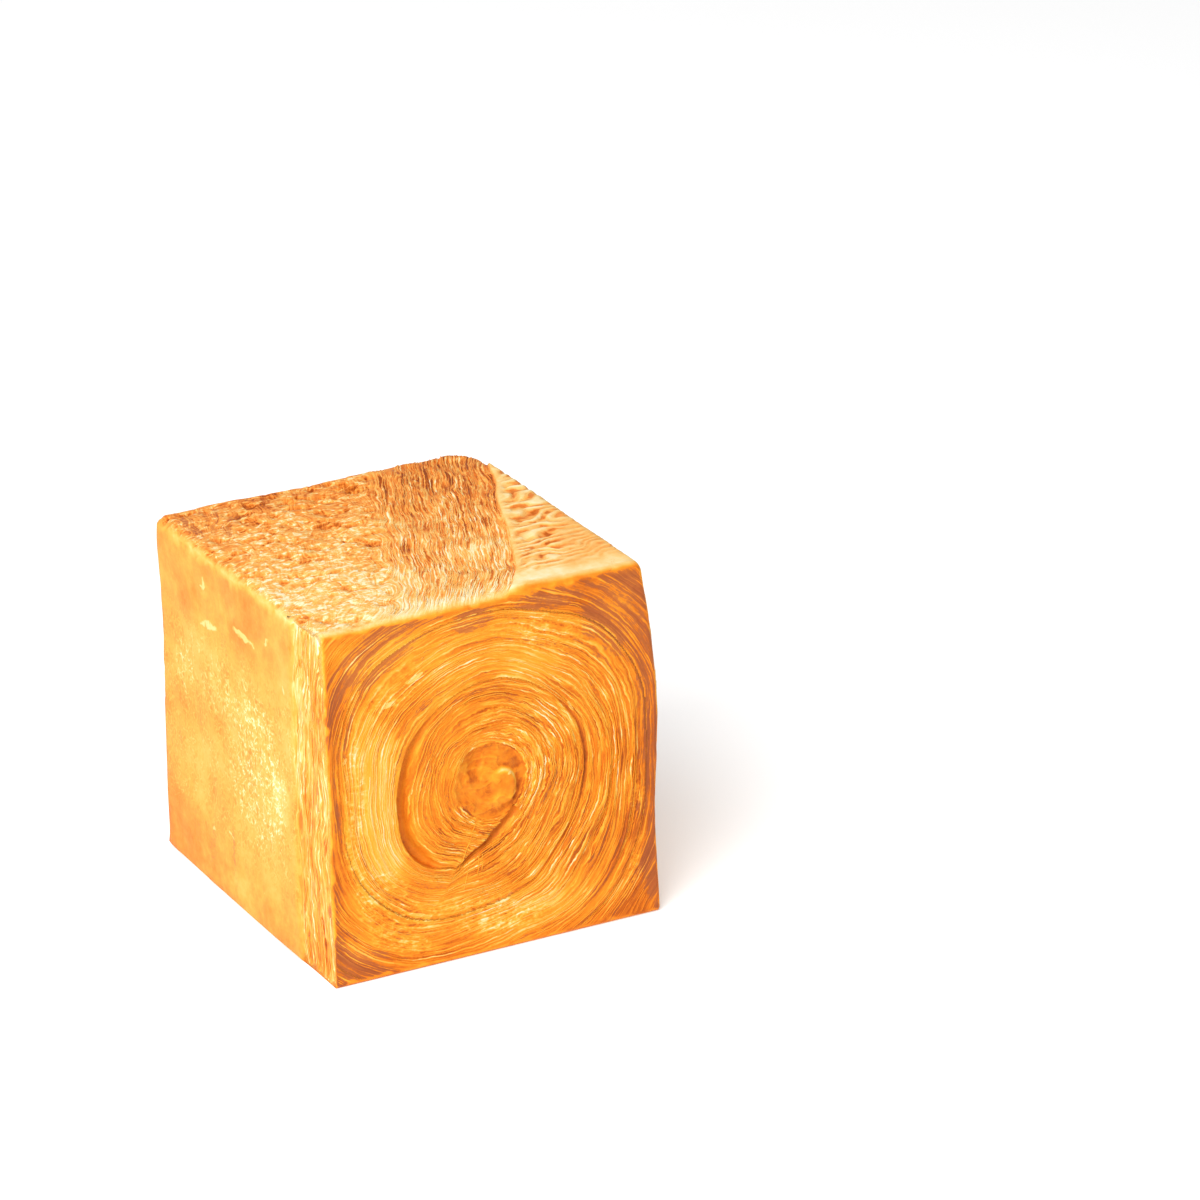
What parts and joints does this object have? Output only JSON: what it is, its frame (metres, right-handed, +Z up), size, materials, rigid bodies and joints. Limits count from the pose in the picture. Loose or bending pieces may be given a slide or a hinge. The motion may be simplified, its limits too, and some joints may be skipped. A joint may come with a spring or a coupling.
{
  "type": "cube croissant",
  "caption": "Cube-shaped croissant of rolled laminated dough, with a spiral coil on two faces and a flat base to rest on.",
  "frame": {"origin": "middle of the base, on the surface that the pastry rests on", "axes": "+Z up, -Y out of the coil face that shows the crescent groove, -X out of the smooth mottled side beside it"},
  "size_m": [0.0666, 0.0676, 0.0664],
  "materials": {
    "baked_crust": null
  },
  "bodies": {
    "root": {"croissant_cube": "baked_crust"}
  },
  "joints": []
}
